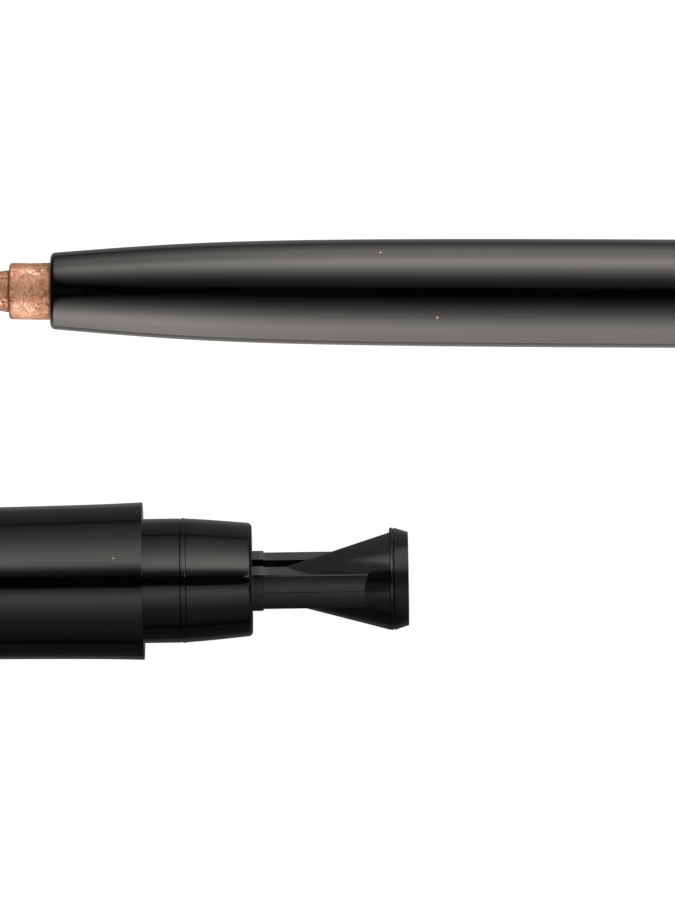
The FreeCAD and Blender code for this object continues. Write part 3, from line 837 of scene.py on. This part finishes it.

# %% [markdown]
# One long card stands on each side of the pencil and one on each side of the plug.
# The round surface turns each gradient into a soft streak, and the dark between
# them becomes the black line along the middle. A place on a round piece mirrors one
# height on the card, so the levels started from brightness readings across the
# real streaks. They were then changed render by render.

# %% Four gradient cards
CARD_HALF_LENGTH = 110
PENCIL_ROW = (-0.05, 18.5)
PLUG_ROW = (-18.4, -0.15)
PENCIL_FAR = [
    (-5, 0.27), (-3.3, 0.31), (-0.5, 1.15), (0.5, 1.92), (1.4, 2.4), (3.1, 2.9), (4.8, 4.6),
    (5.7, 5.0), (7.6, 4.2), (9.9, 2.6), (12.9, 1.5), (17.1, 0.7), (24.3, 0.32), (39.6, 0.2),
    (60, 0.06),
]
PENCIL_NEAR = [
    (-5, 1.15), (-2.5, 1.72), (0, 2.6), (2.7, 3.72), (4.4, 3.6), (6.2, 3.0), (8.1, 2.08),
    (10.5, 1.43), (13.8, 0.81), (18.6, 0.435), (27, 0.165), (47, 0.05), (60, 0.02),
]
PLUG_FAR = [
    (-5, 0.2), (-0.6, 0.23), (1.5, 0.22), (2.1, 0.1), (3.2, 0.33), (4.3, 0.5), (6.5, 0.8),
    (9.1, 1.45), (12.7, 2.1), (16.7, 2.35), (20.5, 2.0), (23.3, 1.3), (26.6, 0.8), (31.1, 0.32),
    (37.3, 0.18), (60, 0.06),
]
PLUG_NEAR = [
    (-5, 0.06), (-0.7, 0.055), (1.3, 0.07), (1.85, 0.02), (2.5, 0.05), (3.7, 0.11), (5.2, 0.17),
    (8.2, 0.24), (11.4, 0.48), (14.9, 0.77), (20.2, 1.1), (25.9, 1.1), (36, 0.74), (59, 0.27),
    (75, 0.02),
]
PENCIL_FAR_ALONG = [
    (-5, 0.04), (-2.2, 0.48), (0, 0.66), (2.5, 0.68), (4.4, 0.7), (6.6, 0.77), (9.7, 0.83),
    (13.9, 0.93), (18.7, 1.0),
]
PENCIL_NEAR_ALONG = [
    (-5, 0.06), (-2.2, 1.3), (0, 1.33), (6.6, 1.33), (9.7, 1.24), (13.9, 1.14), (18.7, 1.1),
    (28.8, 1.03),
]
PLUG_FAR_ALONG = [(5.5, 1.0), (6.5, 1.06), (9.5, 1.2), (13, 1.3), (30, 1.3)]


def card(name, y, facing, across, along=None):
    """A long upright card that glows towards +Y (1) or -Y (-1), as high as its last stop."""
    x, high = CARD_HALF_LENGTH * facing, AXIS_HEIGHT + across[-1][0]
    corners = [(x, y, 0), (-x, y, 0), (-x, y, high), (x, y, high)]
    studio_card(name, corners, glow(name, across, along))


card("card_pencil_far", PENCIL_ROW[1], -1, PENCIL_FAR, PENCIL_FAR_ALONG)
card("card_pencil_near", PENCIL_ROW[0], 1, PENCIL_NEAR, PENCIL_NEAR_ALONG)
card("card_plug_far", PLUG_ROW[1], -1, PLUG_FAR, PLUG_FAR_ALONG)
card("card_plug_near", PLUG_ROW[0], 1, PLUG_NEAR)
print("cards stand round both rows")

# %% [markdown]
# Low dark strips lie on the table beside each row, as a photographer lays black
# paper, and a dark lid covers the top. Dark walls close the troughs, so that the
# rounded nose doesn't catch a white line. All of these only show in reflections.

# %% Strips, walls and lid
LID_HEIGHT = 82
LID_HALF_WIDTH = 40
PAPER_HEIGHT = 0.05
pencil_y = nose.y / MM
plug_y = sleeve_mouth.y / MM


def flat_glow(name, level, two_sided=False):
    """Light of one level all over."""
    return glow(name, [(0, 1), (1, 1)], gain=level, two_sided=two_sided)


def even_card(name, corners, level):
    """A flat card of one brightness on both sides."""
    studio_card(name, corners, flat_glow(name, level, two_sided=True))


def strip(name, y_low, y_high, height, level):
    """A level card over the whole length."""
    x = CARD_HALF_LENGTH
    corners = [(-x, y_low, height), (x, y_low, height), (x, y_high, height), (-x, y_high, height)]
    even_card(name, corners, level)


def wall(name, x, y_low, y_high, level):
    """An upright card across a trough, from the table to the lid."""
    top = LID_HEIGHT
    even_card(name, [(x, y_low, 0), (x, y_high, 0), (x, y_high, top), (x, y_low, top)], level)


strip("strip_pencil_far", pencil_y, PENCIL_ROW[1], PAPER_HEIGHT, 0.2)
strip("strip_pencil_near", PENCIL_ROW[0], pencil_y, PAPER_HEIGHT, 0.34)
strip("strip_plug_far", plug_y, PLUG_ROW[1], PAPER_HEIGHT, 0.17)
strip("strip_plug_near", PLUG_ROW[0], plug_y, PAPER_HEIGHT, 0.07)
strip("lid", -LID_HALF_WIDTH, LID_HALF_WIDTH, LID_HEIGHT, 0.0)
wall("wall_pencil_front", nose.x / MM - 12, *PENCIL_ROW, 0.03)
wall("wall_pencil_rear", CARD_HALF_LENGTH, *PENCIL_ROW, 0.05)
wall("wall_plug_front", -CARD_HALF_LENGTH, *PLUG_ROW, 0.05)
print("strips, walls and lid are up")

# %% [markdown]
# The funnel needs cards of its own. A cone leans its reflections along the pencil:
# the outside leans them back over the stem, and the rim leans them forward. Grey
# fins stand across the trough on both sides of the funnel and are what it sees.
# First come the ones behind it. The fin over the stem is nearly black, so the top
# of the cone stays dark. A ring just before the collar shades its rounded end, and
# a low panel lights the flat of the far leg.

# %% Fins behind the funnel
FIN_BACK = 12.95
FIN_GAP = 2.95
FIN_SLANT = 0.167
FIN_LAYER = 0.05
SHADE_RADIUS = 3.72
FLOOR_Z = -AXIS_HEIGHT
TOP_Z = LID_HEIGHT - AXIS_HEIGHT


def across_trough(along):
    """The x at a distance along, the plug's y there, and the trough's edges from that y."""
    y = plug_y + (along - PLUG_ALONG) * math.tan(PLUG_TURN)
    return nose.x / MM + along, y, PLUG_ROW[0] - y, PLUG_ROW[1] - y


def fin(name, x, row_y, spots, material, slant=0.0):
    """An upright card across the trough, drawn as (y from the row, z over the axis) in mm.

    A slant moves each point along X by that share of its y.
    """
    corners = [(x + slant * y, row_y + y, AXIS_HEIGHT + z) for y, z in spots]
    studio_card(name, corners, material)


x, y, near_edge, far_edge = across_trough(FIN_BACK)
far = [(1.95, FLOOR_Z), (far_edge, FLOOR_Z), (far_edge, 22.5), (0.6, 2.75), (1.0, 1.9), (1.95, 1.9)]
near = [(near_edge, FLOOR_Z), (-FIN_GAP, FLOOR_Z), (-FIN_GAP, TOP_Z), (near_edge, TOP_Z)]
over_stem = [(-FIN_GAP, FIN_GAP), (1.2, FIN_GAP), (9, 17), (9, TOP_Z), (-FIN_GAP, TOP_Z)]
over_collar = [(0, FIN_GAP), (near_edge, 60), (near_edge, TOP_Z), (far_edge, TOP_Z), (far_edge, 60)]
arch = [(math.cos(math.radians(a)), math.sin(math.radians(a))) for a in range(-20, 201, 10)]
shade = [(SHADE_RADIUS * u, SHADE_RADIUS * v) for u, v in reversed(arch)]
shade += [(FIN_GAP * u, FIN_GAP * v) for u, v in arch]
fin("fin_far", x, y, far, flat_glow("fin_far", 0.24), slant=FIN_SLANT)
fin("fin_near", x, y, near, flat_glow("fin_near", 0.08))
fin("fin_over_stem", x + FIN_LAYER, y, over_stem, flat_glow("fin_over_stem", 0.015))
fin("fin_over_collar", x - FIN_LAYER, y, over_collar, flat_glow("fin_over_collar", 0.004))
fin("fin_shade", x - 0.08, y, shade, flat_glow("fin_shade", 0.07))
panel_spots = [(1.5, -5), (6.55, -5), (6.55, 6), (1.5, 6)]
panel = [(x + ahead, PLUG_ROW[1] - 0.1, AXIS_HEIGHT + z) for ahead, z in panel_spots]
even_card("fin_panel", panel, 0.24)
print("fins stand behind the funnel")

# %% [markdown]
# The fin before the funnel is what the rim mirrors. It carries a gradient across
# the trough instead of up, since the rim sweeps over it from side to side. Seven
# stops draw it: a dim lobe on the near side, a dark gap, and a bright lobe.

# %% Fin before the funnel
FIN_FRONT = 25.8
RIM_GLOW = [
    (-9.1, 0.08), (-3.6, 0.27), (-0.3, 0.1), (1.6, 0.12), (3.7, 0.72), (5.5, 0.86), (9.1, 0.6),
]

x, y, near_edge, far_edge = across_trough(FIN_FRONT)
rim = [(near_edge, FLOOR_Z), (far_edge, FLOOR_Z), (far_edge, TOP_Z), (near_edge, TOP_Z)]
shades = glow("fin_rim", RIM_GLOW, gain=1.0, axis="Y", start=y, two_sided=True)
fin("fin_rim", x, y, rim, shades)
print("a fin stands before the funnel")

# %% [markdown]
# The lead needs lamps of its own, since wax and pearl answer to light from all
# round and the cards are drawn for mirrors. A wide one hangs overhead and is left
# out of mirror rays, so the black pieces don't show it. Four small ones stand low
# and close to the lead, with a beam so narrow that it meets nothing else. Two make
# the pearly bands along the stick, and two turned ones light the tip.

# %% Lamps for the lead
LEAD_MIDDLE = nose + Vector((-2.9, 0, 0)) * MM
MICROWATT = 1e-6
FULL_SPREAD = 180.0
# Each low lamp: rise in degrees, side in Y, turn in degrees, power in microwatts.
LOW_LAMPS = {
    "lamp_far_band": (8, 1, 0, 21),
    "lamp_near_band": (28, -1, 0, 4.5),
    "lamp_far_tip": (10, 1, 20, 6),
    "lamp_near_tip": (16, -1, 20, 15),
}


def lamp(name, distance, rise, facing, turn, size, power, beam):
    """A square lamp aimed at the lead, on the side in Y that facing names (1 or -1).

    Lengths are in mm and angles in degrees. A full beam is left out of mirror rays.
    """
    data = bpy.data.lights.new(name, "AREA")
    data.energy = power
    data.size = size * MM
    data.spread = math.radians(beam)
    obj = bpy.data.objects.new(name, data)
    rise, turn = math.radians(rise), math.radians(turn)
    level = Vector((-math.sin(turn), facing * math.cos(turn), 0)) * math.cos(rise)
    toward = level + Vector((0, 0, math.sin(rise)))
    obj.location = LEAD_MIDDLE + toward * distance * MM
    obj.rotation_euler = toward.to_track_quat("Z", "Y").to_euler()
    obj.visible_camera = False
    obj.visible_glossy = beam < FULL_SPREAD
    bpy.context.scene.collection.objects.link(obj)
    obj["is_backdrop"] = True


lamp("lamp_over_lead", 100, 90, 1, 0, 40, 0.0435, FULL_SPREAD)
for name, (rise, facing, turn, power) in LOW_LAMPS.items():
    lamp(name, 8.5, rise, facing, turn, 5, power * MICROWATT, 10)
print(1 + len(LOW_LAMPS), "lamps for the lead")

# %% [markdown]
# ## Floor and background
#
# The floor and the sky are white where the camera, a mirror ray or a ray through
# glass meets them, and dimmer to the rays that only carry light. The floor keeps a
# share of its real shading, so a soft contact shadow stays under the object. The
# glowing share is as much brighter as it is smaller, so the two add up to white.

# %% Floor and world
FLOOR_HALF = 1500
FLOOR_GLOW_SHARE = 0.8
SKY_LEVEL = 0.6
DIRECT_RAYS = ("Is Camera Ray", "Is Glossy Ray", "Is Transmission Ray")


def seen_directly(tree):
    """1 on a ray that shows the background, and 0 on a ray that only carries light."""
    rays = [add(tree, "ShaderNodeLightPath", out=kind) for kind in DIRECT_RAYS]
    return sum(rays).maths("MINIMUM", 1.0)


floor = bpy.data.materials.new("studio_floor")
tree = empty_tree(floor)
paper = add(tree, "ShaderNodeBsdfDiffuse", sockets={"Color": grey(0.8)})
glow_sockets = {"Color": grey(1), "Strength": 1 / FLOOR_GLOW_SHARE}
white = add(tree, "ShaderNodeEmission", sockets=glow_sockets)
sockets = {0: seen_directly(tree) * FLOOR_GLOW_SHARE, 1: paper, 2: white}
surface = add(tree, "ShaderNodeMixShader", sockets=sockets)
add(tree, "ShaderNodeOutputMaterial", sockets={"Surface": surface})
s = FLOOR_HALF
stage_plane("studio_floor", [(-s, -s, 0), (s, -s, 0), (s, s, 0), (-s, s, 0)], floor)

world = bpy.data.worlds.new("studio")
bpy.context.scene.world = world
tree = empty_tree(world)
dim = add(tree, "ShaderNodeBackground", sockets={"Color": grey(1), "Strength": SKY_LEVEL})
full = add(tree, "ShaderNodeBackground", sockets={"Color": grey(1), "Strength": 1.0})
sky = add(tree, "ShaderNodeMixShader", sockets={0: seen_directly(tree), 1: dim, 2: full})
add(tree, "ShaderNodeOutputWorld", sockets={"Surface": sky})
print("floor", 2 * FLOOR_HALF * MM, "m wide")

# %% [markdown]
# ## The size
#
# Both sizes are printed, the CAD's and the dressed object's, so that they can be
# compared. The dressed object must not be larger than the CAD says.

# %% Write the size and finish
model_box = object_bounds()
for name, (low, high) in {"cad": cad_box, "model": model_box}.items():
    print(name, "size mm", [round((b - a) / MM, 3) for a, b in zip(low, high)])
